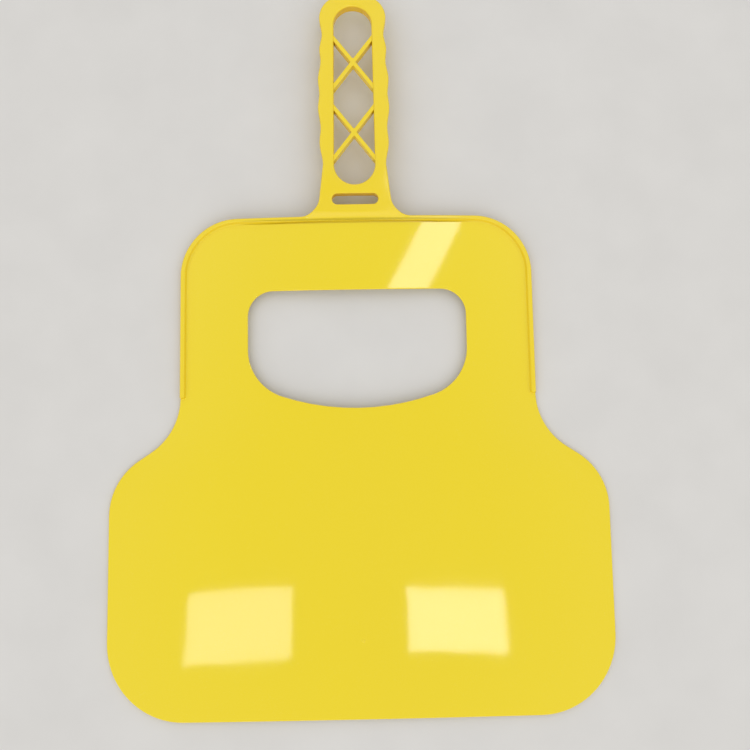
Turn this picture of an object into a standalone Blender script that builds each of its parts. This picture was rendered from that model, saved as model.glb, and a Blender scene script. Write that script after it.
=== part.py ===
"""Lattice-grip mortar board, lying face up with its grip along +Y.

A thin bowed blade with a hand opening, a raised bead round the blade's narrow end, a slotted
neck, and a scalloped grip loop braced by two crosses. The origin is on the surface that the
board lies on, under the middle of its bounding box. Lengths below are millimetres, and the Y
values of the outline count from the middle of the blade's bottom edge.
"""
import math

import bmesh
import bpy
from mathutils import Vector
from mathutils.geometry import delaunay_2d_cdt

METRES_PER_MM = 0.001

# Overall size
BLADE_LENGTH = 249.0
PART_GAP = 0.3

# Blade outline
BLADE_HALF = 125.0
BLADE_THICKNESS = 1.2
BOTTOM_CORNER_RADIUS = 38.0
SHOULDER_START_Y = 99.5
SHOULDER_RADIUS = 32.3
SHOULDER_ANGLE = 56.8
UPPER_HALF = 90.0
UPPER_CORNER_RADIUS = 29.0

# Hand opening
OPENING_HALF = 55.4
OPENING_TOP_Y = 211.1
OPENING_BOTTOM_Y = 151.1
OPENING_TOP_RADIUS = 12.9
OPENING_SIDE_RADIUS = 25.3
OPENING_BOTTOM_RADIUS = 118.0

# Bow of the blade: height of its middle above its side edges
BOW_AT_BOTTOM = 1.8
BOW_AT_TOP = 5.4

# Raised bead along the narrow end and down both of its sides
RIM_WIDTH = 2.5
RIM_THICKNESS = 3.0
RIM_EDGE_ROUND = 0.7

# Neck
NECK_THICKNESS = 5.2
NECK_FILLET_RADIUS = 10.0
NECK_FLARE = 0.121
NECK_RAMP_LENGTH = 4.6
SLOT_HALF_LENGTH = 11.75
SLOT_HALF_HEIGHT = 2.75
SLOT_Y = 257.2

# Grip loop
GRIP_THICKNESS = 5.8
GRIP_START_Y = 275.25
GRIP_GAP_HALF_BOTTOM = 10.5
GRIP_GAP_HALF_TOP = 9.8
GRIP_GAP_TOP_Y = 359.9
GRIP_CAP_RADIUS = 12.0
GRIP_EDGE_ROUND = 0.9
GRIP_WAVE = (  # crests and valleys of the outer side: distance along Y, half-width
    (275.0, 16.2),
    (287.0, 17.8),
    (294.8, 17.2),
    (305.5, 18.4),
    (312.8, 17.7),
    (320.5, 18.3),
    (330.8, 16.9),
    (336.8, 17.4),
    (345.0, 16.1),
    (354.0, 17.3),
)

# Crosses inside the grip
CROSS_RISE = 26.4
CROSS_BAR_WIDTH = 2.1
CROSS_RECESS = 0.8
UPPER_CROSS_Y = 330.1
LOWER_CROSS_Y = 292.4

# Fineness of the faceted solids
ARC_STEP_DEGREES = 7.5
WAVE_STEP = 1.5
STRAIGHT_STEP = 12.0
BOW_GRID = (24.0, 24.0)
NECK_GRID = (4.0, 1.5)
GRID_CLEARANCE = 0.4
MERGE_DISTANCE = 1e-5

# Angles between facets, in degrees, above which an edge is shaded crisp or is rounded
CRISP_ANGLE = 35.0
ROUNDED_ANGLE = 50.0

# Plastic, as linear colour and roughness
BLADE_COLOUR = (0.93, 0.73, 0.070)
BLADE_ROUGHNESS = 0.12
HANDLE_COLOUR = (0.97, 0.75, 0.075)
HANDLE_ROUGHNESS = 0.22


def smoothstep(value):
    """Ease from 0 to 1 with level ends, clamped outside that range."""
    t = min(max(value, 0.0), 1.0)
    return t * t * (3.0 - 2.0 * t)


def mix(start, end, t):
    return start + (end - start) * t


def arc(centre_x, centre_y, radius, start, end):
    """Points on an arc from start to end degrees, both ends included."""
    steps = max(2, math.ceil(abs(end - start) / ARC_STEP_DEGREES))
    angles = [math.radians(mix(start, end, i / steps)) for i in range(steps + 1)]
    return [(centre_x + radius * math.cos(a), centre_y + radius * math.sin(a)) for a in angles]


def mirrored(right_side):
    """Left half from a right half, listed the other way, without points on the middle line."""
    return [(-x, y) for x, y in reversed(right_side) if x > MERGE_DISTANCE]


def closed_loop(right_side):
    """Loop from a right half that starts and ends on or near the middle line."""
    return right_side + mirrored(right_side)


def band_loop(outer, inner):
    """Loop round an arch-shaped band, from the right halves of its outer and inner lines."""
    inner_left = mirrored(inner)[::-1]
    return outer + mirrored(outer) + inner_left + inner[::-1]


def bow_height(x, y):
    """Height of the blade's underside above the surface that it lies on."""
    middle = mix(BOW_AT_BOTTOM, BOW_AT_TOP, min(max(y / BLADE_LENGTH, 0.0), 1.0))
    shoulder = smoothstep((y - SHOULDER_START_Y) / (shoulder_top_y() - SHOULDER_START_Y))
    half_width = mix(BLADE_HALF, UPPER_HALF, shoulder)
    return middle * max(0.0, 1.0 - (x / half_width) ** 2)


def base_height(x, y):
    """Underside height of the whole board: bowed on the blade, level from the slot to the loop."""
    level = smoothstep((y - BLADE_LENGTH) / (SLOT_Y - SLOT_HALF_HEIGHT - BLADE_LENGTH))
    return mix(bow_height(x, y), BOW_AT_TOP, level)


def shoulder_run():
    """Length of the straight between the shoulder's two arcs."""
    turn = math.radians(SHOULDER_ANGLE)
    across = BLADE_HALF - UPPER_HALF - 2.0 * SHOULDER_RADIUS * (1.0 - math.cos(turn))
    return across / math.sin(turn)


def shoulder_top_y():
    """Where the shoulder has turned back to run along Y, which is where the bead ends."""
    turn = math.radians(SHOULDER_ANGLE)
    rise = 2.0 * SHOULDER_RADIUS * math.sin(turn) + shoulder_run() * math.cos(turn)
    return SHOULDER_START_Y + rise


def lower_blade_side():
    """Right side of the blade from its bottom edge to the top of the shoulder."""
    corner = arc(BLADE_HALF - BOTTOM_CORNER_RADIUS, BOTTOM_CORNER_RADIUS, BOTTOM_CORNER_RADIUS, -90, 0)
    convex = arc(BLADE_HALF - SHOULDER_RADIUS, SHOULDER_START_Y, SHOULDER_RADIUS, 0, SHOULDER_ANGLE)
    concave = arc(UPPER_HALF + SHOULDER_RADIUS, shoulder_top_y(), SHOULDER_RADIUS,
                  180 + SHOULDER_ANGLE, 180)
    return corner + convex + concave


def upper_side(inset, start_y):
    """Right side of the narrow end, moved inwards by inset, up to the end of its corner arc."""
    radius = UPPER_CORNER_RADIUS - inset
    centre_x = UPPER_HALF - UPPER_CORNER_RADIUS
    centre_y = BLADE_LENGTH - UPPER_CORNER_RADIUS
    return [(UPPER_HALF - inset, start_y)] + arc(centre_x, centre_y, radius, 0, 90)


def opening_side():
    """Right side of the hand opening, from the middle of its curved bottom to its top corner."""
    big_centre_y = OPENING_BOTTOM_Y + OPENING_BOTTOM_RADIUS
    corner_x = OPENING_HALF - OPENING_SIDE_RADIUS
    reach = OPENING_BOTTOM_RADIUS - OPENING_SIDE_RADIUS
    corner_y = big_centre_y - math.sqrt(reach ** 2 - corner_x ** 2)
    meet = math.degrees(math.atan2(corner_y - big_centre_y, corner_x))
    bottom = arc(0.0, big_centre_y, OPENING_BOTTOM_RADIUS, -90, meet)
    side = arc(corner_x, corner_y, OPENING_SIDE_RADIUS, meet, 0)
    top = arc(OPENING_HALF - OPENING_TOP_RADIUS, OPENING_TOP_Y - OPENING_TOP_RADIUS,
              OPENING_TOP_RADIUS, 0, 90)
    return bottom + side[1:] + top


def grip_gap_half(y):
    """Half-width of the long gap inside the grip, which widens slightly towards the neck."""
    top_y = GRIP_GAP_TOP_Y - GRIP_GAP_HALF_TOP
    return mix(GRIP_GAP_HALF_BOTTOM, GRIP_GAP_HALF_TOP, (y - GRIP_START_Y) / (top_y - GRIP_START_Y))


def grip_wave_side(start_y):
    """Right outer side of the grip: eased from each crest to the next valley."""
    points = []
    for (y0, half0), (y1, half1) in zip(GRIP_WAVE, GRIP_WAVE[1:]):
        steps = math.ceil((y1 - y0) / WAVE_STEP)
        for i in range(steps):
            t = i / steps
            points.append((mix(half0, half1, (1.0 - math.cos(math.pi * t)) / 2.0), mix(y0, y1, t)))
    last_y, last_half = GRIP_WAVE[-1]
    cap = arc(last_half - GRIP_CAP_RADIUS, last_y, GRIP_CAP_RADIUS, 0, 90)
    return [(points[0][0], start_y)] + [p for p in points if p[1] > start_y + 0.5] + cap


def divided(loop):
    """The loop with its long straight edges divided, so that they can follow the bow."""
    points = []
    for (x0, y0), (x1, y1) in zip(loop, loop[1:] + loop[:1]):
        steps = math.ceil(math.hypot(x1 - x0, y1 - y0) / STRAIGHT_STEP)
        points += [(mix(x0, x1, i / steps), mix(y0, y1, i / steps)) for i in range(steps)]
    return points


def inside(point, loop):
    """Whether a point lies inside a closed loop, by counting crossings."""
    x, y = point
    result = False
    for (x0, y0), (x1, y1) in zip(loop, loop[1:] + loop[:1]):
        if (y0 > y) != (y1 > y) and x < x0 + (y - y0) * (x1 - x0) / (y1 - y0):
            result = not result
    return result


def distance_to_loop(point, loop):
    """Shortest distance from a point to a closed loop's edges."""
    target = Vector(point)
    nearest = math.inf
    for start, end in zip(loop, loop[1:] + loop[:1]):
        a = Vector(start)
        edge = Vector(end) - a
        t = min(max((target - a).dot(edge) / edge.length_squared, 0.0), 1.0)
        nearest = min(nearest, (target - a - edge * t).length)
    return nearest


def covered(point, loops):
    """Whether a point lies inside the first loop and outside the others."""
    return inside(point, loops[0]) and not any(inside(point, hole) for hole in loops[1:])


def grid_points(loops, step_x, step_y):
    """Grid points inside the first loop and outside the others, clear of every edge."""
    clearance = GRID_CLEARANCE * min(step_x, step_y)
    columns = math.floor(max(x for x, _ in loops[0]) / step_x)
    low_y = min(y for _, y in loops[0])
    rows = math.ceil((max(y for _, y in loops[0]) - low_y) / step_y)
    grid = [(i * step_x, low_y + j * step_y) for j in range(rows) for i in range(-columns, columns + 1)]
    clear = [p for p in grid if all(distance_to_loop(p, loop) > clearance for loop in loops)]
    return [point for point in clear if covered(point, loops)]


def plate(name, loops, low, high, grid=None):
    """Solid between two height functions, over the area of the first loop minus the others."""
    loops = [divided(loop) for loop in loops]
    points = [Vector(point) for loop in loops for point in loop]
    edges = []
    first = 0
    for loop in loops:
        count = len(loop)
        edges += [(first + i, first + (i + 1) % count) for i in range(count)]
        first += count
    if grid:
        points += [Vector(point) for point in grid_points(loops, *grid)]
    flat_points, _, triangles, *_ = delaunay_2d_cdt(points, edges, [], 1, MERGE_DISTANCE)
    bm = bmesh.new()
    verts = [bm.verts.new((p.x, p.y, 0.0)) for p in flat_points]
    faces = []
    for triangle in triangles:
        middle = sum((flat_points[i] for i in triangle), Vector((0.0, 0.0))) / len(triangle)
        if covered(middle, loops):
            faces.append(bm.faces.new([verts[i] for i in triangle]))
    raised = bmesh.ops.extrude_face_region(bm, geom=faces)["geom"]
    top = {item for item in raised if isinstance(item, bmesh.types.BMVert)}
    for vert in bm.verts:
        surface = high if vert in top else low
        vert.co.z = surface(vert.co.x, vert.co.y)
    bmesh.ops.recalc_face_normals(bm, faces=bm.faces)
    bmesh.ops.scale(bm, vec=(METRES_PER_MM,) * 3, verts=bm.verts)
    return link_object(name, bm)


def link_object(name, bm):
    """Turn a finished bmesh into an object of the scene."""
    mesh = bpy.data.meshes.new(name)
    bm.to_mesh(mesh)
    bm.free()
    mesh.shade_smooth()
    mesh.set_sharp_from_angle(angle=math.radians(CRISP_ANGLE))
    obj = bpy.data.objects.new(name, mesh)
    bpy.context.scene.collection.objects.link(obj)
    return obj


def round_edges(obj, width):
    """Round the crisp edges of a plate with two facets."""
    bevel = obj.modifiers.new("Edge round", "BEVEL")
    bevel.width = width * METRES_PER_MM
    bevel.segments = 2
    bevel.limit_method = "ANGLE"
    bevel.angle_limit = math.radians(ROUNDED_ANGLE)


def glossy_plastic(obj, rgb, roughness):
    """Give an object a glossy plastic of its own."""
    material = bpy.data.materials.new(obj.name + "_plastic")
    material.use_nodes = True
    shader = material.node_tree.nodes["Principled BSDF"]
    shader.inputs["Base Color"].default_value = (*rgb, 1.0)
    shader.inputs["Roughness"].default_value = roughness
    shader.inputs["Metallic"].default_value = 0.0
    material.diffuse_color = (*rgb, 1.0)
    obj.data.materials.append(material)


def blade_plastic(obj):
    """Bright yellow with the high gloss of a polished mould face."""
    glossy_plastic(obj, BLADE_COLOUR, BLADE_ROUGHNESS)


def handle_plastic(obj):
    """The same yellow where the plastic is thicker: deeper in colour and less glossy."""
    glossy_plastic(obj, HANDLE_COLOUR, HANDLE_ROUGHNESS)


def make_blade():
    """Thin bowed sheet: wide working end, S-shaped shoulders, narrow end and hand opening."""
    inset = RIM_WIDTH + PART_GAP
    side = [(0.0, 0.0)] + lower_blade_side() + upper_side(inset, shoulder_top_y())
    blade = plate("blade", [closed_loop(side), closed_loop(opening_side())], bow_height,
                  lambda x, y: bow_height(x, y) + BLADE_THICKNESS, BOW_GRID)
    blade_plastic(blade)
    return blade


def make_edge_rim():
    """Raised bead along the top and both sides of the narrow end, with square ends."""
    start_y = shoulder_top_y() + PART_GAP
    loop = band_loop(upper_side(0.0, start_y), upper_side(RIM_WIDTH, start_y))
    rim = plate("edge_rim", [loop], bow_height, lambda x, y: bow_height(x, y) + RIM_THICKNESS)
    round_edges(rim, RIM_EDGE_ROUND)
    handle_plastic(rim)
    return rim


def neck_side():
    """Right side of the neck: base fillet, flared side, flat top and the grip gap's round end."""
    fillet_y = BLADE_LENGTH + NECK_FILLET_RADIUS
    tilt = math.atan(NECK_FLARE)
    flare_x = GRIP_WAVE[0][1] + NECK_FLARE * (GRIP_START_Y - fillet_y)
    fillet_x = flare_x + NECK_FILLET_RADIUS / math.cos(tilt)
    lift = math.degrees(math.acos(1.0 - PART_GAP / NECK_FILLET_RADIUS))
    fillet = arc(fillet_x, fillet_y, NECK_FILLET_RADIUS, -90 - lift, math.degrees(tilt) - 180)
    top_y = GRIP_START_Y - PART_GAP / 2.0
    gap_end = arc(0.0, GRIP_START_Y, GRIP_GAP_HALF_BOTTOM, -1, -90)
    return fillet + [(GRIP_WAVE[0][1], top_y), (GRIP_GAP_HALF_BOTTOM, top_y)] + gap_end[1:]


def neck_face(x, y):
    """Front of the neck, which ramps up from the bead."""
    ramp = smoothstep((y - BLADE_LENGTH) / NECK_RAMP_LENGTH)
    return base_height(x, y) + mix(RIM_THICKNESS, NECK_THICKNESS, ramp)


def make_neck():
    """Flared neck with a strap slot below and the round end of the grip's gap above."""
    slot_end = arc(SLOT_HALF_LENGTH - SLOT_HALF_HEIGHT, SLOT_Y, SLOT_HALF_HEIGHT, -90, 90)
    loops = [closed_loop(neck_side()), closed_loop(slot_end)]
    neck = plate("neck", loops, base_height, neck_face, NECK_GRID)
    handle_plastic(neck)
    return neck


def make_grip_loop():
    """Two scalloped rails joined by a round arch, which leaves the hanging gap below it."""
    start_y = GRIP_START_Y + PART_GAP / 2.0
    arch = arc(0.0, GRIP_GAP_TOP_Y - GRIP_GAP_HALF_TOP, GRIP_GAP_HALF_TOP, 0, 90)
    inner = [(grip_gap_half(start_y), start_y)] + arch
    grip = plate("grip_loop", [band_loop(grip_wave_side(start_y), inner)],
                 lambda x, y: BOW_AT_TOP, lambda x, y: BOW_AT_TOP + GRIP_THICKNESS)
    round_edges(grip, GRIP_EDGE_ROUND)
    handle_plastic(grip)
    return grip


def make_cross(name, centre_y):
    """Two thin diagonal bars in one piece, level with the grip's back and recessed from its front."""
    slope = CROSS_RISE / (GRIP_GAP_HALF_BOTTOM + GRIP_GAP_HALF_TOP)
    edge_shift = 0.5 * CROSS_BAR_WIDTH * math.hypot(1.0, slope)

    def arm_end(side, shift):
        """Where one edge of the upper or lower right arm stops short of the grip's rail."""
        reach = grip_gap_half(centre_y + side * CROSS_RISE / 2.0) - PART_GAP
        return (reach, centre_y + side * (slope * reach + shift))

    right = [
        (0.0, centre_y - edge_shift),
        arm_end(-1.0, edge_shift),
        arm_end(-1.0, -edge_shift),
        (edge_shift / slope, centre_y),
        arm_end(1.0, -edge_shift),
        arm_end(1.0, edge_shift),
        (0.0, centre_y + edge_shift),
    ]
    cross = plate(name, [closed_loop(right)], lambda x, y: BOW_AT_TOP,
                  lambda x, y: BOW_AT_TOP + GRIP_THICKNESS - CROSS_RECESS)
    handle_plastic(cross)
    return cross


def clear_scene():
    """Remove whatever the scene holds."""
    for obj in list(bpy.data.objects):
        bpy.data.objects.remove(obj, do_unlink=True)


def make_board():
    """Make every part and hang them on one empty, which centres the board on the origin."""
    board = bpy.data.objects.new("board", None)
    bpy.context.scene.collection.objects.link(board)
    parts = [
        make_blade(),
        make_edge_rim(),
        make_neck(),
        make_grip_loop(),
        make_cross("upper_cross", UPPER_CROSS_Y),
        make_cross("lower_cross", LOWER_CROSS_Y),
    ]
    for part in parts:
        part.parent = board
    total_length = GRIP_WAVE[-1][0] + GRIP_CAP_RADIUS
    board.location.y = -total_length / 2.0 * METRES_PER_MM


clear_scene()
make_board()
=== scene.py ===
"""Lattice-grip mortar board in glossy yellow plastic, lying face up on a pale studio floor.

The real board is one moulding, so its skin is made here as one surface and then shared out
among the pieces that stand for the CAD nodes. Lengths of the design are millimetres, and its Y
values count from the middle of the blade's bottom edge. The lights and the camera are metres.
"""

import math

import bmesh
import bpy
import numpy as np
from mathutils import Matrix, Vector
from mathutils.geometry import delaunay_2d_cdt


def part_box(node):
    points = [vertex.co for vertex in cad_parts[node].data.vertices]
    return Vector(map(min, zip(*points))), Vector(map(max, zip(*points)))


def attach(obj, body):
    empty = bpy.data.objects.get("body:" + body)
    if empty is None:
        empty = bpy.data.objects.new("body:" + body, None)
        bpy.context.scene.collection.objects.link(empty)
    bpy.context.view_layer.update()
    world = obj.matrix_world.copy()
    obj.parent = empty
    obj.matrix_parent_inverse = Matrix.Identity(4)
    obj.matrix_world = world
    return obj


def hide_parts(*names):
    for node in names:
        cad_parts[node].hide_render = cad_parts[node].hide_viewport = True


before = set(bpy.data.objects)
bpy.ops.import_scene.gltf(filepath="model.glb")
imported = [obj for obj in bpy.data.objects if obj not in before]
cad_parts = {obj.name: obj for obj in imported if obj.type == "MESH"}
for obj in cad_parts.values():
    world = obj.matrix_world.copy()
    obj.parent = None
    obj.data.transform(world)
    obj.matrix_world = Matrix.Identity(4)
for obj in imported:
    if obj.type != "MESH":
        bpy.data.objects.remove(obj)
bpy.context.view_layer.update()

BODY = "root"
METRES_PER_MM = 0.001
BLADE_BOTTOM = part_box("blade")[0].y


def design_box(node):
    """Lowest and highest corner of a CAD node, in the design's millimetres."""
    low, high = (Vector(corner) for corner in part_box(node))
    low.y -= BLADE_BOTTOM
    high.y -= BLADE_BOTTOM
    return low / METRES_PER_MM, high / METRES_PER_MM


# Driving sizes, read from the frame
BLADE_HALF = design_box("blade")[1].x
UPPER_HALF = design_box("edge_rim")[1].x
BLADE_LENGTH = design_box("edge_rim")[1].y
LOOP_TOP_Y = design_box("grip_loop")[1].y
GRIP_BACK_Z = design_box("grip_loop")[0].z
GRIP_THICKNESS = design_box("grip_loop")[1].z - GRIP_BACK_Z

# Blade outline
BLADE_THICKNESS = 1.2
BOTTOM_CORNER_RADIUS = 38.0
SHOULDER_START_Y = 99.5
SHOULDER_RADIUS = 32.3
SHOULDER_ANGLE = 56.8
UPPER_CORNER_RADIUS = 29.0

# Hand opening
OPENING_HALF = 55.4
OPENING_TOP_Y = 211.1
OPENING_BOTTOM_Y = 151.1
OPENING_TOP_RADIUS = 12.9
OPENING_SIDE_RADIUS = 25.3
OPENING_BOTTOM_RADIUS = 118.0

# Bow of the blade: height of its middle above its side edges
BOW_AT_BOTTOM = 1.8
BOW_AT_TOP = GRIP_BACK_Z
BOW_EASE = 0.06

# Raised bead. It eases down to the sheet between two insets from the blade's edge, and rises at
# its square ends between two distances past them
RIM_THICKNESS = 3.0
RIM_STEP = (1.65, 2.95)
RIM_END_STEP = (-0.25, 0.6)
RIM_SIDE_EXTRA = 0.4
RIM_CUT_INSET = 3.3
RIM_CUT_DROP = 0.6

# Neck
NECK_THICKNESS = 4.6
NECK_FILLET_RADIUS = 10.0
NECK_FLARE = 0.121
NECK_RAMP = (BLADE_LENGTH - 1.7, BLADE_LENGTH + 2.3)
NECK_ROOT_HALF = (22.0, 30.0)
NECK_REACH = 46.0
NECK_CUT_LIFT = 14.0
SLOT_HALF_LENGTH = 11.75
SLOT_HALF_HEIGHT = 2.75
SLOT_Y = 257.2
NECK_STEP = (253.0, 274.0)

# Grip loop
GRIP_START_Y = 275.25
GRIP_GAP_HALF_BOTTOM = 10.5
GRIP_GAP_HALF_TOP = 9.8
GRIP_GAP_TOP_Y = 359.9
GRIP_CAP_RADIUS = 12.0
GRIP_CROWN = 0.16
GRIP_CROWN_REACH = 3.4
GRIP_WAVE = (  # crests and valleys of the outer side: distance along Y, half-width
    (275.0, 16.2),
    (287.0, 17.8),
    (294.8, 17.2),
    (305.5, 18.4),
    (312.8, 17.7),
    (320.5, 18.3),
    (330.8, 16.9),
    (336.8, 17.4),
    (345.0, 16.1),
    (LOOP_TOP_Y - GRIP_CAP_RADIUS, 17.3),
)

# Crosses inside the grip
CROSS_RISE = 26.4
CROSS_BAR_WIDTH = 2.1
CROSS_THICKNESS = design_box("upper_cross")[1].z - design_box("upper_cross")[0].z
CROSS_BACK_Z = design_box("upper_cross")[0].z
CROSS_ROUND = 0.35
CROSS_FILLET = 0.5
CROSS_OVERLAP = 0.5

# Radius of the rounded edges
SHEET_ROUND = 0.5
RIM_ROUND = 0.85
SLOT_ROUND = 0.6
NECK_ROUND = 1.0
GRIP_ROUND = 1.15
GRIP_ROUND_REACH = 8.0
GAP_ROUND = 1.0

# Small moulding marks
GATE_PLACE = (0.7, 37.2)
GATE_RADIUS = 0.9
GATE_HEIGHT = 0.16
GATE_SLOPE = 0.6

# Fineness of the skin
ARC_STEP_DEGREES = 4.0
WAVE_STEP = 0.9
STRAIGHT_STEP = 4.0
ROUND_STEPS = 5
SHEET_GRID = 5.0
HANDLE_GRID = 1.6
SLOPE_STEP = 0.02
EDGE_MARGIN = 0.25
TINY = 1e-4
CORNER_STEPS = 3

# Plastic
PLASTIC_IOR = 1.54
SHEET_YELLOW = (0.93, 0.735, 0.025)
BEAD_YELLOW = (0.93, 0.705, 0.022)
# Painted shade: a darker orange for the steep sides, eased in over the given range of steepness
SHADED_WALL_COLOUR = (0.78, 0.44, 0.010)
WALL_SHADE_RANGE = (0.3, 0.95)
CLOUD_COLOUR = (0.90, 0.70, 0.030)
CLOUD_SHARE = 0.5
SPECK_COLOUR = (0.98, 0.82, 0.16)
SPECK_SHARE = 0.35
SCUFF_DULLNESS = 0.03
SMEAR_DULLNESS = 0.015
WAVE_HEIGHT = 0.000032
FINE_PEEL = 0.0000012
COARSE_PEEL = 0.000003
SHEET_GLOSS = 0.04
HANDLE_GLOSS = 0.16

# Studio floor, room light and camera, in metres and degrees
FLOOR_HALF = 2.0
FLOOR_Z = -0.0002
CEILING_Z = 2.4
ROOM_LIGHT = 0.97
NEAR_SIDE_GAIN = 1.6
DIM_PLACE = (0.0, -0.1, 1.0)
OVERHEAD_DIM = (0.8, 0.98, ROOM_LIGHT, 0.3)
LOW_DIM = (-0.1, 0.6, 0.45, 1.0)
CAMERA_PLACE = (0.0042, -0.0553, 0.3943)
CAMERA_TURN = (5.83, -0.54, -1.02)
CAMERA_LENS = 37.34

# Softboxes: centre, width and depth, turn in degrees, and radiance
SOFTBOXES = {
    "left_softbox": ((-0.55, -0.70), (0.45, 0.25), 0.0, 4.0),
    "right_softbox": ((0.38, -0.70), (0.42, 0.22), 0.0, 5.5),
    "far_softbox": ((0.45, 0.62), (0.60, 0.18), 45.0, 5.0),
}


def smoothstep(value):
    """Ease from 0 to 1 with level ends, clamped outside that range."""
    t = np.clip(value, 0.0, 1.0)
    return t * t * (3.0 - 2.0 * t)


def mix(start, end, t):
    """The value a share t of the way from start to end."""
    return start + (end - start) * t


def spread(ends, steps=7):
    """Values spaced evenly from one end to the other."""
    return [mix(*ends, i / steps) for i in range(steps + 1)]


def eased(value, ends):
    """Smooth rise from 0 at the first end to 1 at the second."""
    return smoothstep((value - ends[0]) / (ends[1] - ends[0]))


# ---------------------------------------------------------------- outlines


def arc(centre_x, centre_y, radius, start, end):
    """Points on an arc from start to end degrees, both ends included."""
    steps = max(2, math.ceil(abs(end - start) / ARC_STEP_DEGREES))
    angles = [math.radians(mix(start, end, i / steps)) for i in range(steps + 1)]
    return [(centre_x + radius * math.cos(a), centre_y + radius * math.sin(a)) for a in angles]


def without_repeats(points):
    """The points without any that lies on the one before it."""
    kept = [points[0]]
    for point in points[1:]:
        if math.dist(point, kept[-1]) > 0.01:
            kept.append(point)
    return kept


def divided(points, step=STRAIGHT_STEP):
    """A line of points with its long straight stretches divided."""
    result = [points[0]]
    for start, end in zip(points, points[1:]):
        steps = max(1, math.ceil(math.dist(start, end) / step - TINY))
        result += [(mix(start[0], end[0], i / steps), mix(start[1], end[1], i / steps))
                   for i in range(1, steps + 1)]
    return result


def whole(right_side):
    """Closed loop from a right half that starts and ends on or near the middle line."""
    right = divided(without_repeats(right_side))
    left = [(-x, y) for x, y in reversed(right) if x > TINY]
    if right[-1][0] > TINY:
        left = divided([right[-1], left[0]])[1:-1] + left
    return right + left


def shoulder_run():
    """Length of the straight between the shoulder's two arcs."""
    turn = math.radians(SHOULDER_ANGLE)
    across = BLADE_HALF - UPPER_HALF - 2.0 * SHOULDER_RADIUS * (1.0 - math.cos(turn))
    return across / math.sin(turn)


def shoulder_top_y():
    """Where the shoulder has turned back to run along Y, which is where the bead ends."""
    turn = math.radians(SHOULDER_ANGLE)
    rise = 2.0 * SHOULDER_RADIUS * math.sin(turn) + shoulder_run() * math.cos(turn)
    return SHOULDER_START_Y + rise


RIM_END_Y = shoulder_top_y()
RIM_CUT_Y = RIM_END_Y - RIM_CUT_DROP


def blade_side():
    """Right side of the blade, from its bottom edge to the top of the shoulder."""
    corner = arc(BLADE_HALF - BOTTOM_CORNER_RADIUS, BOTTOM_CORNER_RADIUS, BOTTOM_CORNER_RADIUS, -90, 0)
    convex = arc(BLADE_HALF - SHOULDER_RADIUS, SHOULDER_START_Y, SHOULDER_RADIUS, 0, SHOULDER_ANGLE)
    last_angle = math.degrees(math.asin(RIM_CUT_DROP / SHOULDER_RADIUS))
    concave = arc(UPPER_HALF + SHOULDER_RADIUS, RIM_END_Y, SHOULDER_RADIUS,
                  180 + SHOULDER_ANGLE, 180 + last_angle)
    return corner + convex + concave


def rim_line(inset, start_y, half=UPPER_HALF):
    """Right side of the narrow end, moved inwards by inset, up to the end of its corner arc."""
    centre = (half - UPPER_CORNER_RADIUS, BLADE_LENGTH - UPPER_CORNER_RADIUS)
    return [(half - inset, start_y)] + arc(*centre, UPPER_CORNER_RADIUS - inset, 0, 90)


def bead_line(inset, start_y):
    """The same for the bead's inner side. The bead is a little wider along the sides than at the top."""
    return rim_line(inset, start_y, UPPER_HALF - RIM_SIDE_EXTRA)


def neck_side():
    """Right side of the neck: the fillet at its root and its flared side."""
    fillet_y = BLADE_LENGTH + NECK_FILLET_RADIUS
    tilt = math.atan(NECK_FLARE)
    flare_x = GRIP_WAVE[0][1] + NECK_FLARE * (GRIP_START_Y - fillet_y)
    fillet_x = flare_x + NECK_FILLET_RADIUS / math.cos(tilt)
    root = (fillet_x, fillet_y, NECK_FILLET_RADIUS)
    cut_angle = -90 - NECK_CUT_LIFT
    return arc(*root, -90, cut_angle) + arc(*root, cut_angle, math.degrees(tilt) - 180)[1:]


def grip_side():
    """Right outer side of the grip: eased from each crest to the next valley, then its cap."""
    points = []
    for (y0, half0), (y1, half1) in zip(GRIP_WAVE, GRIP_WAVE[1:]):
        steps = math.ceil((y1 - y0) / WAVE_STEP)
        shares = [i / steps for i in range(steps)]
        points += [(mix(half0, half1, (1.0 - math.cos(math.pi * t)) / 2.0), mix(y0, y1, t)) for t in shares]
    last_y, last_half = GRIP_WAVE[-1]
    cap = arc(last_half - GRIP_CAP_RADIUS, last_y, GRIP_CAP_RADIUS, 0, 90)
    above = [point for point in points if point[1] > GRIP_START_Y + WAVE_STEP / 2.0]
    return [(points[0][0], GRIP_START_Y)] + above + cap


def board_outline():
    """Outer outline of the whole board. Its straights hold a point at each step of the bead's end."""
    steps = [(UPPER_HALF, RIM_END_Y + along) for along in spread(RIM_END_STEP)]
    right = [(0.0, 0.0)] + blade_side() + steps + rim_line(0.0, RIM_END_Y + 2.0) + neck_side() + grip_side()
    return whole(right)


def opening_outline():
    """Hand opening: a curved bottom that runs into round sides, and a straight top."""
    big_centre_y = OPENING_BOTTOM_Y + OPENING_BOTTOM_RADIUS
    corner_x = OPENING_HALF - OPENING_SIDE_RADIUS
    reach = OPENING_BOTTOM_RADIUS - OPENING_SIDE_RADIUS
    corner_y = big_centre_y - math.sqrt(reach ** 2 - corner_x ** 2)
    meet = math.degrees(math.atan2(corner_y - big_centre_y, corner_x))
    bottom = arc(0.0, big_centre_y, OPENING_BOTTOM_RADIUS, -90, meet)
    side = arc(corner_x, corner_y, OPENING_SIDE_RADIUS, meet, 0)
    top = arc(OPENING_HALF - OPENING_TOP_RADIUS, OPENING_TOP_Y - OPENING_TOP_RADIUS,
              OPENING_TOP_RADIUS, 0, 90)
    return whole(bottom + side + top)


def slot_outline():
    """Strap slot across the neck, with round ends."""
    return whole(arc(SLOT_HALF_LENGTH - SLOT_HALF_HEIGHT, SLOT_Y, SLOT_HALF_HEIGHT, -90, 90))


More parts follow.
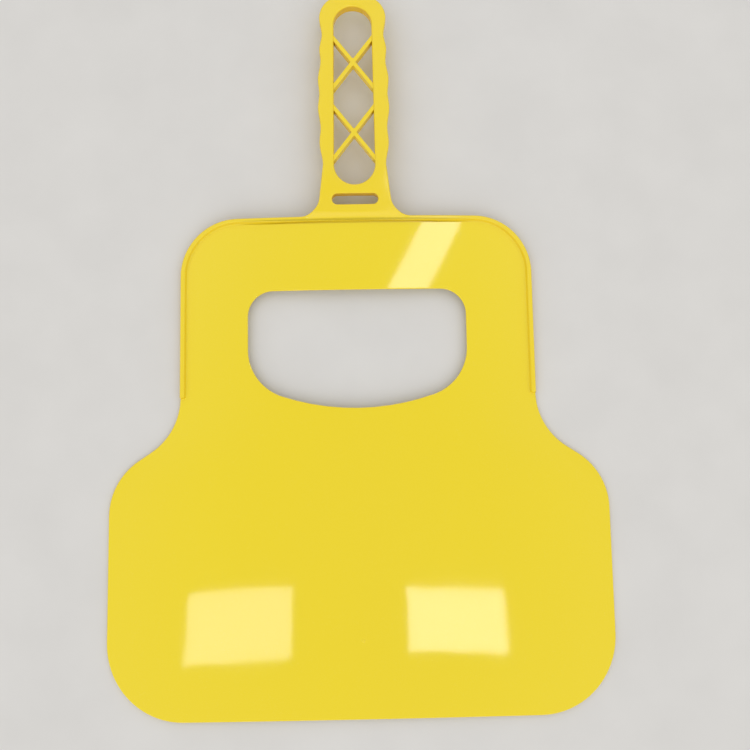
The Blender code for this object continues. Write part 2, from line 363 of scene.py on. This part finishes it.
def gap_outline():
    """Long gap inside the grip, with round ends."""
    bottom = arc(0.0, GRIP_START_Y, GRIP_GAP_HALF_BOTTOM, -90, 0)
    top = arc(0.0, GRIP_GAP_TOP_Y - GRIP_GAP_HALF_TOP, GRIP_GAP_HALF_TOP, 0, 90)
    return whole(bottom + top)


def gap_half(y):
    """Half-width of the long gap, which widens slightly towards the neck."""
    top_y = GRIP_GAP_TOP_Y - GRIP_GAP_HALF_TOP
    return mix(GRIP_GAP_HALF_BOTTOM, GRIP_GAP_HALF_TOP, (y - GRIP_START_Y) / (top_y - GRIP_START_Y))


def cornered(points, radii):
    """Closed loop with each corner replaced by a small arc of the given radius, or kept if it is 0."""
    result = []
    for i, radius in enumerate(radii):
        corner = Vector(points[i])
        before = (Vector(points[i - 1]) - corner).normalized()
        after = (Vector(points[(i + 1) % len(points)]) - corner).normalized()
        if radius == 0.0:
            result.append(tuple(corner))
            continue
        half = before.angle(after) / 2.0
        centre = corner + (before + after).normalized() * (radius / math.sin(half))
        start = corner + before * (radius / math.tan(half)) - centre
        end = corner + after * (radius / math.tan(half)) - centre
        for step in range(CORNER_STEPS + 1):
            spoke = start.lerp(end, step / CORNER_STEPS).normalized() * radius
            result.append(tuple(centre + spoke))
    return result


def cross_outline(centre_y):
    """Two crossing bars, with fillets where they meet. The arms run a little way into the rails."""
    slope = CROSS_RISE / (GRIP_GAP_HALF_BOTTOM + GRIP_GAP_HALF_TOP)
    shift = 0.5 * CROSS_BAR_WIDTH * math.hypot(1.0, slope)

    def arm_end(side, edge):
        """One edge of the upper or lower right arm, just inside the rail."""
        reach = gap_half(centre_y + side * CROSS_RISE / 2.0) + CROSS_OVERLAP
        return (reach, centre_y + side * (slope * reach + edge))

    right = [arm_end(-1, shift), arm_end(-1, -shift), (shift / slope, centre_y), arm_end(1, -shift),
             arm_end(1, shift)]
    left = [(-x, y) for x, y in reversed(right)]
    points = [(0.0, centre_y - shift)] + right + [(0.0, centre_y + shift)] + left
    radii = [CROSS_FILLET, 0.0, 0.0, CROSS_FILLET, 0.0, 0.0] * 2
    loop = cornered(points, radii)
    return divided(loop + loop[:1])[:-1]


# ---------------------------------------------------------------- distances


def loop_edges(loops):
    """Start points and edge vectors of all the edges of closed loops."""
    starts = np.vstack([np.array(loop) for loop in loops])
    ends = np.vstack([np.roll(np.array(loop), -1, axis=0) for loop in loops])
    return starts, ends - starts


def edge_distance(x, y, loops):
    """Distance from each point to the nearest edge of any of the loops."""
    starts, edges = loop_edges(loops)
    nearest = np.full(np.shape(x), np.inf)
    for (start_x, start_y), (edge_x, edge_y) in zip(starts, edges):
        dx = x - start_x
        dy = y - start_y
        share = np.clip((dx * edge_x + dy * edge_y) / (edge_x ** 2 + edge_y ** 2), 0.0, 1.0)
        nearest = np.minimum(nearest, np.hypot(dx - share * edge_x, dy - share * edge_y))
    return nearest


def covered(x, y, loops):
    """Whether each point lies inside an odd number of the loops: on plastic and not in a hole."""
    starts, edges = loop_edges(loops)
    odd = np.zeros(np.shape(x), bool)
    for (start_x, start_y), (edge_x, edge_y) in zip(starts, edges):
        if edge_y == 0.0:
            continue
        spans = (start_y > y) != (start_y + edge_y > y)
        odd ^= spans & (x < start_x + (y - start_y) * edge_x / edge_y)
    return odd


def rim_inset(x, y):
    """How far a place lies inside the line from which the bead's profile is measured."""
    across = np.abs(x) - (UPPER_HALF - RIM_SIDE_EXTRA - UPPER_CORNER_RADIUS)
    along = y - (BLADE_LENGTH - UPPER_CORNER_RADIUS)
    outside = np.hypot(np.maximum(across, 0.0), np.maximum(along, 0.0))
    return UPPER_CORNER_RADIUS - outside - np.minimum(np.maximum(across, along), 0.0)


# ---------------------------------------------------------------- heights


def bow_height(x, y):
    """Height of the blade's underside above the surface that it lies on. It flattens out smoothly at
    the side edges, where the shoulders would otherwise leave a crease."""
    middle = mix(BOW_AT_BOTTOM, BOW_AT_TOP, np.clip(y / BLADE_LENGTH, 0.0, 1.0))
    shoulder = eased(y, (SHOULDER_START_Y, RIM_END_Y))
    half_width = mix(BLADE_HALF, UPPER_HALF, shoulder)
    share = 1.0 - (x / half_width) ** 2
    return middle * (share + np.sqrt(share ** 2 + BOW_EASE ** 2)) / 2.0


def board_back(x, y):
    """Underside: bowed on the blade, level from the slot to the loop."""
    level = eased(y, (BLADE_LENGTH, SLOT_Y - SLOT_HALF_HEIGHT))
    return mix(bow_height(x, y), BOW_AT_TOP, level)


def on_neck(x):
    """1 between the neck's sides and 0 well outside them, where the bead's top stays level."""
    return 1.0 - eased(np.abs(x), NECK_ROOT_HALF)


def board_thickness(x, y):
    """Sheet, bead, neck and grip. A short ramp leads up from the bead, and a long one to the grip."""
    rim = (1.0 - eased(rim_inset(x, y), RIM_STEP)) * eased(y - RIM_END_Y, RIM_END_STEP)
    ramp = eased(y, NECK_RAMP) * on_neck(x)
    step = eased(y, NECK_STEP)
    rise = (RIM_THICKNESS - BLADE_THICKNESS) * rim + (NECK_THICKNESS - RIM_THICKNESS) * ramp
    return BLADE_THICKNESS + rise + (GRIP_THICKNESS - NECK_THICKNESS) * step


def board_front(x, y):
    """Front face. The rails are slightly crowned, and the gate leaves a low nub on the blade."""
    height = board_back(x, y) + board_thickness(x, y)
    on_grip = eased(y, NECK_STEP)
    if np.any(on_grip > 0.0):
        depth = np.clip(edge_distance(x, y, BOARD_LOOPS) / GRIP_CROWN_REACH, 0.0, 1.0)
        height = height - GRIP_CROWN * on_grip * (1.0 - depth) ** 2
    gate = np.hypot(x - GATE_PLACE[0], y - GATE_PLACE[1]) / GATE_RADIUS
    return height + GATE_HEIGHT * smoothstep((1.0 - gate) / GATE_SLOPE)


def outline_round(x, y):
    """Edge radius along the outer outline, which grows from the sheet to the bead and the grip."""
    on_rim = smoothstep((y - RIM_END_Y) / RIM_END_STEP[1])
    past_rim = eased(y, (BLADE_LENGTH, NECK_RAMP[1]))
    on_grip = eased(y, (GRIP_START_Y - GRIP_ROUND_REACH, GRIP_START_Y))
    radius = mix(SHEET_ROUND, RIM_ROUND, on_rim)
    return mix(mix(radius, NECK_ROUND, past_rim), GRIP_ROUND, on_grip)


def slopes(surface, x, y):
    """Unit normals of a height function, pointing up."""
    along_x = (surface(x + SLOPE_STEP, y) - surface(x - SLOPE_STEP, y)) / (2.0 * SLOPE_STEP)
    along_y = (surface(x, y + SLOPE_STEP) - surface(x, y - SLOPE_STEP)) / (2.0 * SLOPE_STEP)
    normals = np.stack([-along_x, -along_y, np.ones_like(along_x)], axis=1)
    return normals / np.linalg.norm(normals, axis=1, keepdims=True)


# ---------------------------------------------------------------- skin


def inward_normals(loop, is_hole):
    """Unit vectors from each point of a loop into the plastic."""
    points = np.array(loop)
    edges = np.roll(points, -1, axis=0) - points
    edges = edges / np.linalg.norm(edges, axis=1, keepdims=True)
    left = np.stack([-edges[:, 1], edges[:, 0]], axis=1)
    both = left + np.roll(left, 1, axis=0)
    both = both / np.linalg.norm(both, axis=1, keepdims=True)
    area = np.sum(points[:, 0] * np.roll(points[:, 1], -1) - np.roll(points[:, 0], -1) * points[:, 1])
    return both if (area > 0.0) != is_hole else -both


class Skin:
    """Closed skin between a front and a back height field, with round edges along its loops."""

    def __init__(self, front, back, loops, radii):
        """The first loop is the outline and the others are holes. radii holds one function each."""
        self.front = front
        self.back = back
        self.loops = loops
        self.places = []
        self.normals = []
        self.steepness = []
        self.faces = []
        self.rims = [self.add_edge(i, radius) for i, radius in enumerate(radii)]

    def add_points(self, places, normals):
        """Add points and return their indices."""
        first = len(self.places)
        self.places += [tuple(place) for place in places]
        self.normals += [tuple(normal) for normal in normals]
        self.steepness += [1.0 - abs(float(normal[2])) for normal in normals]
        return list(range(first, len(self.places)))

    def add_edge(self, loop_index, radius_at):
        """Round one loop's edge with rows of quads, from the front face over to the back face."""
        loop = np.array(self.loops[loop_index])
        inwards = inward_normals(self.loops[loop_index], loop_index > 0)
        radius = radius_at(loop[:, 0], loop[:, 1])
        ring = loop + inwards * radius[:, None]
        turns = [math.pi / 2.0 * (1.0 - i / ROUND_STEPS) for i in range(ROUND_STEPS + 1)]
        rows = []
        for surface, side in ((self.front, 1.0), (self.back, -1.0)):
            depth = surface(ring[:, 0], ring[:, 1]) - self.back(ring[:, 0], ring[:, 1])
            face_normals = side * slopes(surface, ring[:, 0], ring[:, 1])
            half = []
            for turn in turns:
                place = loop + inwards * (radius * (1.0 - math.cos(turn)))[:, None]
                inset = radius * (1.0 - math.sin(turn))
                height = self.back(place[:, 0], place[:, 1]) + depth - side * inset
                outwards = np.column_stack([-inwards, np.zeros(len(loop))])
                normal = math.cos(turn) * outwards + math.sin(turn) * face_normals
                normal = normal / np.linalg.norm(normal, axis=1, keepdims=True)
                half.append(self.add_points(np.column_stack([place, height]), normal))
            rows += half if side > 0.0 else half[::-1]
        for upper, lower in zip(rows, rows[1:]):
            for i in range(len(loop)):
                after = (i + 1) % len(loop)
                self.faces.append((upper[i], upper[after], lower[after], lower[i]))
        return rows

    def fill(self, surface, is_front, lines, grid):
        """Triangulate a face between the loops' inner rings, through lines and grid points."""
        row = 0 if is_front else -1
        flat = []
        owners = []
        edges = []
        for rim in self.rims:
            first = len(flat)
            ids = rim[row]
            flat += [Vector(self.places[i][:2]) for i in ids]
            owners += ids
            edges += [(first + i, first + (i + 1) % len(ids)) for i in range(len(ids))]
        for line in lines:
            first = len(flat)
            flat += [Vector(point) for point in line]
            owners += [None] * len(line)
            edges += [(first + i, first + i + 1) for i in range(len(line) - 1)]
        flat += [Vector(point) for point in grid]
        owners += [None] * len(grid)
        found = delaunay_2d_cdt(flat, edges, [], 1, TINY)
        corners = np.array([tuple(point) for point in found[0]])
        known = [next((owners[i] for i in sources if owners[i] is not None), None) for sources in found[3]]
        fresh = [i for i, owner in enumerate(known) if owner is None]
        x, y = corners[fresh, 0], corners[fresh, 1]
        normals = slopes(surface, x, y) * (1.0 if is_front else -1.0)
        for i, index in zip(fresh, self.add_points(np.column_stack([x, y, surface(x, y)]), normals)):
            known[i] = index
        triangles = np.array([face for face in found[2] if len(face) == 3])
        middles = corners[triangles].mean(axis=1)
        rings = [[self.places[i][:2] for i in rim[row]] for rim in self.rims]
        for triangle in triangles[covered(middles[:, 0], middles[:, 1], rings)]:
            self.faces.append(tuple(known[i] for i in triangle))
        return {flat_key(corner): index for corner, index in zip(corners, known)}

    def ring_point(self, loop_index, near):
        """Index in a loop of its point nearest to a place, and that column's innermost point."""
        loop = self.loops[loop_index]
        index = min(range(len(loop)), key=lambda i: math.dist(loop[i], near))
        return index, self.places[self.rims[loop_index][0][index]][:2]


def flat_key(point):
    """Key under which a front point and the back point below it are both found."""
    return round(float(point[0]), 2), round(float(point[1]), 2)


class Cut:
    """Line across the skin, from one rounded edge to another, along which two pieces part."""

    def __init__(self, skin, start, middle, end):
        """start and end are a loop's index and a place near the column where the cut begins or ends."""
        first, first_point = skin.ring_point(*start)
        last, last_point = skin.ring_point(*end)
        self.columns = [(start[0], first), (end[0], last)]
        self.line = divided([first_point] + middle + [last_point])

    def walls(self, skin, fronts, backs):
        """Faces that close a piece along the cut, from its front down to its back."""
        upper = [fronts[flat_key(point)] for point in self.line]
        lower = [backs[flat_key(point)] for point in self.line]
        walls = [(a, b, d, c) for a, b, c, d in zip(upper, upper[1:], lower, lower[1:])]
        for loop_index, i in self.columns:
            walls.append(tuple(row[i] for row in skin.rims[loop_index]))
        return walls


# ---------------------------------------------------------------- the board


BOARD_LOOPS = [board_outline(), opening_outline(), slot_outline(), gap_outline()]
OUTLINE = 0
GAP = 3


def constant(value):
    """A function of place that is the same everywhere."""
    return lambda x, y: np.full(np.shape(x), value)


def both_sides(right):
    """A line over the middle from its right half."""
    return right + [(-x, y) for x, y in reversed(right)]


def clear_parts(line):
    """The stretches of a line that keep a margin to every rounded edge."""
    x, y = np.array(line).T
    clear = covered(x, y, BOARD_LOOPS)
    clear &= edge_distance(x, y, BOARD_LOOPS) > outline_round(x, y) + EDGE_MARGIN
    parts = [[]]
    for point, keep in zip(line, clear):
        if keep:
            parts[-1].append(point)
        elif parts[-1]:
            parts.append([])
    return [part for part in parts if len(part) > 1]


def rim_lines():
    """Lines along the bead's inner side and across its square ends."""
    start_y = RIM_END_Y + RIM_END_STEP[0]
    lines = [both_sides(divided(bead_line(inset, start_y))) for inset in spread(RIM_STEP)]
    for along in spread(RIM_END_STEP):
        for side in (1.0, -1.0):
            ends = (UPPER_HALF - RIM_ROUND - EDGE_MARGIN, UPPER_HALF - RIM_SIDE_EXTRA - RIM_STEP[1])
            lines.append(divided([(side * x, RIM_END_Y + along) for x in ends], 0.4))
    return lines


def neck_lines():
    """Level lines across the neck, close together where its face ramps or steps."""
    ramp = [mix(*NECK_RAMP, i / 10.0) for i in range(1, 11)]
    step = [mix(*NECK_STEP, i / 4.0) for i in range(1, 5)]
    lines = [divided([(NECK_REACH, y), (-NECK_REACH, y)], 0.8) for y in ramp + step]
    return [part for line in lines for part in clear_parts(line)]


def gate_lines():
    """Rings round the gate's nub."""
    return [arc(*GATE_PLACE, GATE_RADIUS * share, 0, 348)[::4] for share in (0.4, 0.6, 0.8, 1.0)]


def grid(low, high, step):
    """Grid points on the plastic, from one corner to the other, clear of the edges and the bead."""
    columns = math.floor((high[0] - low[0]) / step)
    rows = math.floor((high[1] - low[1]) / step)
    x, y = (axis.ravel() for axis in np.meshgrid(low[0] + step * np.arange(columns + 1),
                                                 low[1] + step * np.arange(rows + 1)))
    clear = covered(x, y, BOARD_LOOPS)
    clear &= edge_distance(x, y, BOARD_LOOPS) > outline_round(x, y) + 0.25 * step
    clear &= (y > BLADE_LENGTH) | (y < RIM_CUT_Y) | (rim_inset(x, y) > RIM_CUT_INSET + 0.25 * step)
    return list(zip(x[clear], y[clear]))


def board_grid():
    """Coarse grid on the blade and a fine one on the neck and the grip."""
    sheet_half = SHEET_GRID * math.ceil(BLADE_HALF / SHEET_GRID)
    sheet_top = BLADE_LENGTH - RIM_CUT_INSET
    sheet = grid((-sheet_half, SHEET_GRID / 2.0), (sheet_half, sheet_top), SHEET_GRID)
    handle_half = HANDLE_GRID * math.ceil(NECK_REACH / HANDLE_GRID)
    handle = grid((-handle_half, BLADE_LENGTH + 1.0), (handle_half, LOOP_TOP_Y), HANDLE_GRID)
    return sheet + handle


def board_cuts(skin):
    """Where the bead leaves the blade, the neck leaves the bead, and the grip leaves the neck."""
    rim = both_sides(bead_line(RIM_CUT_INSET, RIM_CUT_Y))
    rim_cut = Cut(skin, (OUTLINE, (UPPER_HALF, RIM_CUT_Y)), rim, (OUTLINE, (-UPPER_HALF, RIM_CUT_Y)))
    root = neck_side()[len(arc(0, 0, 1, -90, -90 - NECK_CUT_LIFT)) - 1]
    neck_cut = Cut(skin, (OUTLINE, root), [], (OUTLINE, (-root[0], root[1])))
    rails = [Cut(skin, (OUTLINE, (side * GRIP_WAVE[0][1], GRIP_START_Y)), [],
                 (GAP, (side * GRIP_GAP_HALF_BOTTOM, GRIP_START_Y))) for side in (1.0, -1.0)]
    return rim_cut, neck_cut, rails


def owner(x, y, neck_corner):
    """The CAD node that each place belongs to. neck_corner is where the neck's cut meets its edge."""
    names = np.full(np.shape(x), "blade", dtype="<U9")
    names[(rim_inset(x, y) < RIM_CUT_INSET) & (y > RIM_CUT_Y)] = "edge_rim"
    names[(np.abs(x) < neck_corner[0]) & (y > neck_corner[1])] = "neck"
    names[y > GRIP_START_Y] = "grip_loop"
    return names


def make_board():
    """Skin of the blade, bead, neck and grip, shared out among four pieces."""
    radii = [outline_round, constant(SHEET_ROUND), constant(SLOT_ROUND), constant(GAP_ROUND)]
    skin = Skin(board_front, board_back, BOARD_LOOPS, radii)
    rim_cut, neck_cut, rail_cuts = board_cuts(skin)
    cut_lines = [cut.line for cut in (rim_cut, neck_cut, *rail_cuts)]
    points = board_grid()
    fronts = skin.fill(board_front, True, cut_lines + rim_lines() + neck_lines() + gate_lines(), points)
    backs = skin.fill(board_back, False, cut_lines, points)
    middles = np.array([np.mean([skin.places[i][:2] for i in face], axis=0) for face in skin.faces])
    root = neck_cut.line[0]
    names = owner(middles[:, 0], middles[:, 1], (root[0] + 0.1, root[1]))
    cuts = {"blade": [rim_cut], "edge_rim": [rim_cut, neck_cut], "neck": [neck_cut, *rail_cuts],
            "grip_loop": rail_cuts}
    pieces = {}
    for name, touching in cuts.items():
        faces = [face for face, face_owner in zip(skin.faces, names) if face_owner == name]
        walls = [wall for cut in touching for wall in cut.walls(skin, fronts, backs)]
        pieces[name] = make_piece("hawk_" + name, skin, faces, walls, name)
    return pieces


def make_cross(node):
    """One lattice cross, rounded along all its edges."""
    low, high = design_box(node)
    loop = cross_outline((low.y + high.y) / 2.0)
    front = constant(CROSS_BACK_Z + CROSS_THICKNESS)
    back = constant(CROSS_BACK_Z)
    skin = Skin(front, back, [loop], [constant(CROSS_ROUND)])
    skin.fill(front, True, [], [])
    skin.fill(back, False, [], [])
    return make_piece("hawk_" + node, skin, skin.faces, [], node)


def store(mesh, name, values):
    """Keep one number for each vertex, for the material to read."""
    mesh.attributes.new(name, "FLOAT", "POINT").data.foreach_set("value", values.astype(np.float32))


def make_piece(name, skin, faces, walls, node):
    """Mesh object from some of a skin's faces, with the skin's exact normals, in place of a CAD node."""
    used = sorted({i for face in faces + walls for i in face})
    place_of = {index: i for i, index in enumerate(used)}
    places = np.array([skin.places[i] for i in used])
    world = places * METRES_PER_MM + np.array([0.0, BLADE_BOTTOM, 0.0])
    mesh = bpy.data.meshes.new(name)
    mesh.from_pydata(world.tolist(), [], [[place_of[i] for i in face] for face in faces + walls])
    bm = bmesh.new()
    bm.from_mesh(mesh)
    bmesh.ops.recalc_face_normals(bm, faces=bm.faces)
    bm.to_mesh(mesh)
    bm.free()
    mesh.shade_smooth()
    corner_normals = []
    for polygon in mesh.polygons:
        is_wall = polygon.index >= len(faces)
        for corner in polygon.vertices:
            corner_normals.append(tuple(polygon.normal) if is_wall else skin.normals[used[corner]])
    mesh.normals_split_custom_set(corner_normals)
    thickness = skin.front(places[:, 0], places[:, 1]) - skin.back(places[:, 0], places[:, 1])
    store(mesh, "depth", thickness * METRES_PER_MM)
    # Steepness sets where the material paints shade on the steep sides
    store(mesh, "steepness", np.array([skin.steepness[i] for i in used]))
    obj = bpy.data.objects.new(name, mesh)
    bpy.context.scene.collection.objects.link(obj)
    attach(obj, BODY)
    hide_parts(node)
    return obj


# ---------------------------------------------------------------- materials


def node(tree, kind, **values):
    """Add a shader node. Values whose names are sockets are set on them, and the rest on the node."""
    made = tree.nodes.new("ShaderNode" + kind)
    for name, value in values.items():
        socket = made.inputs.get(name.replace("_", " "))
        if socket is None:
            setattr(made, name, value)
        else:
            socket.default_value = value
    return made


def noise(tree, place, scale, detail=3.0, stretch=(1.0, 1.0, 1.0)):
    """Noise over the part's own space, with features of about 1 / scale metres."""
    mapping = node(tree, "Mapping")
    mapping.inputs["Scale"].default_value = stretch
    texture = node(tree, "TexNoise", Scale=scale, Detail=detail)
    tree.links.new(place.outputs["Object"], mapping.inputs["Vector"])
    tree.links.new(mapping.outputs["Vector"], texture.inputs["Vector"])
    return texture.outputs["Fac"]


def ranged(tree, value, low, high, to_low, to_high):
    """Value carried from one range to another, clamped."""
    made = node(tree, "MapRange")
    for name, number in (("From Min", low), ("From Max", high), ("To Min", to_low), ("To Max", to_high)):
        made.inputs[name].default_value = number
    tree.links.new(value, made.inputs["Value"])
    return made.outputs["Result"]


def blend_colours(tree, factor, first, second):
    """Mix of two colours, each a colour or a socket, by a factor socket."""
    made = node(tree, "Mix", data_type="RGBA")
    tree.links.new(factor, made.inputs["Factor"])
    for socket, colour in ((made.inputs[6], first), (made.inputs[7], second)):
        if isinstance(colour, tuple):
            socket.default_value = (*colour, 1.0)
        else:
            tree.links.new(colour, socket)
    return made.outputs[2]


def plastic(name, wall_shade_share, gloss, peel_height):
    """Glossy moulded plastic: deeper in colour where it is thick, with painted shade that makes its steep
    sides a darker orange, faint flow clouds, a little orange peel, and hairline scuffs that dull it in
    places."""
    material = bpy.data.materials.new(name)
    material.use_nodes = True
    tree = material.node_tree
    shader = tree.nodes["Principled BSDF"]
    shader.inputs["IOR"].default_value = PLASTIC_IOR
    place = node(tree, "TexCoord")
    depth = node(tree, "Attribute", attribute_name="depth").outputs["Fac"]
    by_depth = ranged(tree, depth, BLADE_THICKNESS * METRES_PER_MM, RIM_THICKNESS * METRES_PER_MM, 0.0, 1.0)
    front = blend_colours(tree, by_depth, SHEET_YELLOW, BEAD_YELLOW)
    steepness = node(tree, "Attribute", attribute_name="steepness").outputs["Fac"]
    # Painted shade: the steep sides turn a darker orange, as if in shade
    body = blend_colours(tree, ranged(tree, steepness, *WALL_SHADE_RANGE, 0.0, wall_shade_share), front, SHADED_WALL_COLOUR)
    clouds = ranged(tree, noise(tree, place, 9.0, 2.0, (1.0, 0.4, 1.0)), 0.3, 0.7, 0.0, CLOUD_SHARE)
    clouded = blend_colours(tree, clouds, body, CLOUD_COLOUR)
    specks = ranged(tree, noise(tree, place, 2600.0, 1.0), 0.62, 0.8, 0.0, SPECK_SHARE)
    tree.links.new(blend_colours(tree, specks, clouded, SPECK_COLOUR), shader.inputs["Base Color"])
    scuffs = noise(tree, place, 60.0, 6.0, (14.0, 0.5, 1.0))
    smears = noise(tree, place, 22.0, 4.0)
    scuffed = ranged(tree, scuffs, 0.6, 0.72, gloss, gloss + SCUFF_DULLNESS)
    smeared = node(tree, "Math", operation="ADD")
    tree.links.new(scuffed, smeared.inputs[0])
    tree.links.new(ranged(tree, smears, 0.4, 0.7, 0.0, SMEAR_DULLNESS), smeared.inputs[1])
    tree.links.new(smeared.outputs[0], shader.inputs["Roughness"])
    wave = node(tree, "Bump", Strength=1.0, Distance=WAVE_HEIGHT)
    peel = node(tree, "Bump", Strength=1.0, Distance=peel_height)
    tree.links.new(noise(tree, place, 38.0, 1.0), wave.inputs["Height"])
    tree.links.new(noise(tree, place, 700.0, 2.0), peel.inputs["Height"])
    tree.links.new(wave.outputs["Normal"], peel.inputs["Normal"])
    tree.links.new(peel.outputs["Normal"], shader.inputs["Normal"])
    return material


def finish_piece(obj, material):
    """Give a piece its plastic."""
    obj.data.materials.append(material)


# ---------------------------------------------------------------- studio


def floor_material():
    """Pale matt studio floor with a faint unevenness."""
    material = bpy.data.materials.new("studio_floor")
    material.use_nodes = True
    tree = material.node_tree
    shader = tree.nodes["Principled BSDF"]
    shader.inputs["Roughness"].default_value = 0.8
    place = node(tree, "TexCoord")
    uneven = ranged(tree, noise(tree, place, 30.0), 0.3, 0.7, 0.0, 1.0)
    colour = blend_colours(tree, uneven, (0.70, 0.69, 0.675), (0.73, 0.72, 0.705))
    tree.links.new(colour, shader.inputs["Base Color"])
    return material


def make_floor():
    """Plain floor just under the board."""
    mesh = bpy.data.meshes.new("studio_floor")
    corners = [(-FLOOR_HALF, -FLOOR_HALF), (FLOOR_HALF, -FLOOR_HALF), (FLOOR_HALF, FLOOR_HALF),
               (-FLOOR_HALF, FLOOR_HALF)]
    mesh.from_pydata([(x, y, FLOOR_Z) for x, y in corners], [], [(0, 1, 2, 3)])
    mesh.materials.append(floor_material())
    floor = bpy.data.objects.new("studio_floor", mesh)
    bpy.context.scene.collection.objects.link(floor)


def softbox(name, centre, size, turn, radiance):
    """Rectangular lamp level with the ceiling, facing down and turned about the vertical."""
    lamp = bpy.data.lights.new(name, "AREA")
    lamp.shape = "RECTANGLE"
    lamp.size, lamp.size_y = size
    lamp.energy = radiance * math.pi * size[0] * size[1]
    obj = bpy.data.objects.new(name, lamp)
    obj.location = (*centre, CEILING_Z)
    obj.rotation_euler.z = math.radians(turn)
    bpy.context.scene.collection.objects.link(obj)


def make_world():
    """Soft room light, stronger behind the camera, and dimmer near the floor and in a wide round patch
    just about overhead."""
    world = bpy.data.worlds.new("studio")
    world.use_nodes = True
    tree = world.node_tree
    direction = node(tree, "TexCoord").outputs["Generated"]
    towards = node(tree, "VectorMath", operation="DOT_PRODUCT")
    towards.inputs[1].default_value = Vector(DIM_PLACE).normalized()
    height = node(tree, "SeparateXYZ")
    tree.links.new(direction, towards.inputs[0])
    tree.links.new(direction, height.inputs["Vector"])
    overhead = ranged(tree, towards.outputs["Value"], *OVERHEAD_DIM)
    low = ranged(tree, height.outputs["Z"], *LOW_DIM)
    near_side = ranged(tree, height.outputs["Y"], -1.0, 0.0, NEAR_SIDE_GAIN, 1.0)
    vertical = node(tree, "Math", operation="MULTIPLY")
    strength = node(tree, "Math", operation="MULTIPLY")
    tree.links.new(overhead, vertical.inputs[0])
    tree.links.new(low, vertical.inputs[1])
    tree.links.new(vertical.outputs[0], strength.inputs[0])
    tree.links.new(near_side, strength.inputs[1])
    background = tree.nodes["Background"]
    background.inputs["Color"].default_value = (1.0, 0.99, 0.97, 1.0)
    tree.links.new(strength.outputs[0], background.inputs["Strength"])
    bpy.context.scene.world = world


def make_camera():
    """Camera above the board, close to its middle and looking nearly straight down."""
    lens = bpy.data.cameras.new("camera")
    lens.sensor_width = 36.0
    lens.lens = CAMERA_LENS
    lens.clip_start = 0.01
    camera = bpy.data.objects.new("camera", lens)
    camera.location = CAMERA_PLACE
    camera.rotation_euler = [math.radians(angle) for angle in CAMERA_TURN]
    bpy.context.scene.collection.objects.link(camera)
    bpy.context.scene.camera = camera


def make_lights():
    """Soft room light, two softboxes behind the camera and one beyond the grip."""
    make_world()
    for name, (centre, size, turn, radiance) in SOFTBOXES.items():
        softbox(name, centre, size, turn, radiance)


def main():
    """Build the board, the studio and the camera."""
    bpy.context.scene.view_settings.view_transform = "Standard"
    # The second number is how much painted shade each plastic puts on its steep sides
    sheet_plastic = plastic("sheet_plastic", 0.75, SHEET_GLOSS, FINE_PEEL)
    grip_plastic = plastic("grip_plastic", 0.95, HANDLE_GLOSS, COARSE_PEEL)
    cross_plastic = plastic("cross_plastic", 0.25, HANDLE_GLOSS, COARSE_PEEL)
    pieces = make_board()
    pieces.update({name: make_cross(name) for name in ("upper_cross", "lower_cross")})
    for name, piece in pieces.items():
        if name == "blade":
            finish_piece(piece, sheet_plastic)
        elif name.endswith("cross"):
            finish_piece(piece, cross_plastic)
        else:
            finish_piece(piece, grip_plastic)
    make_floor()
    make_lights()
    make_camera()


main()
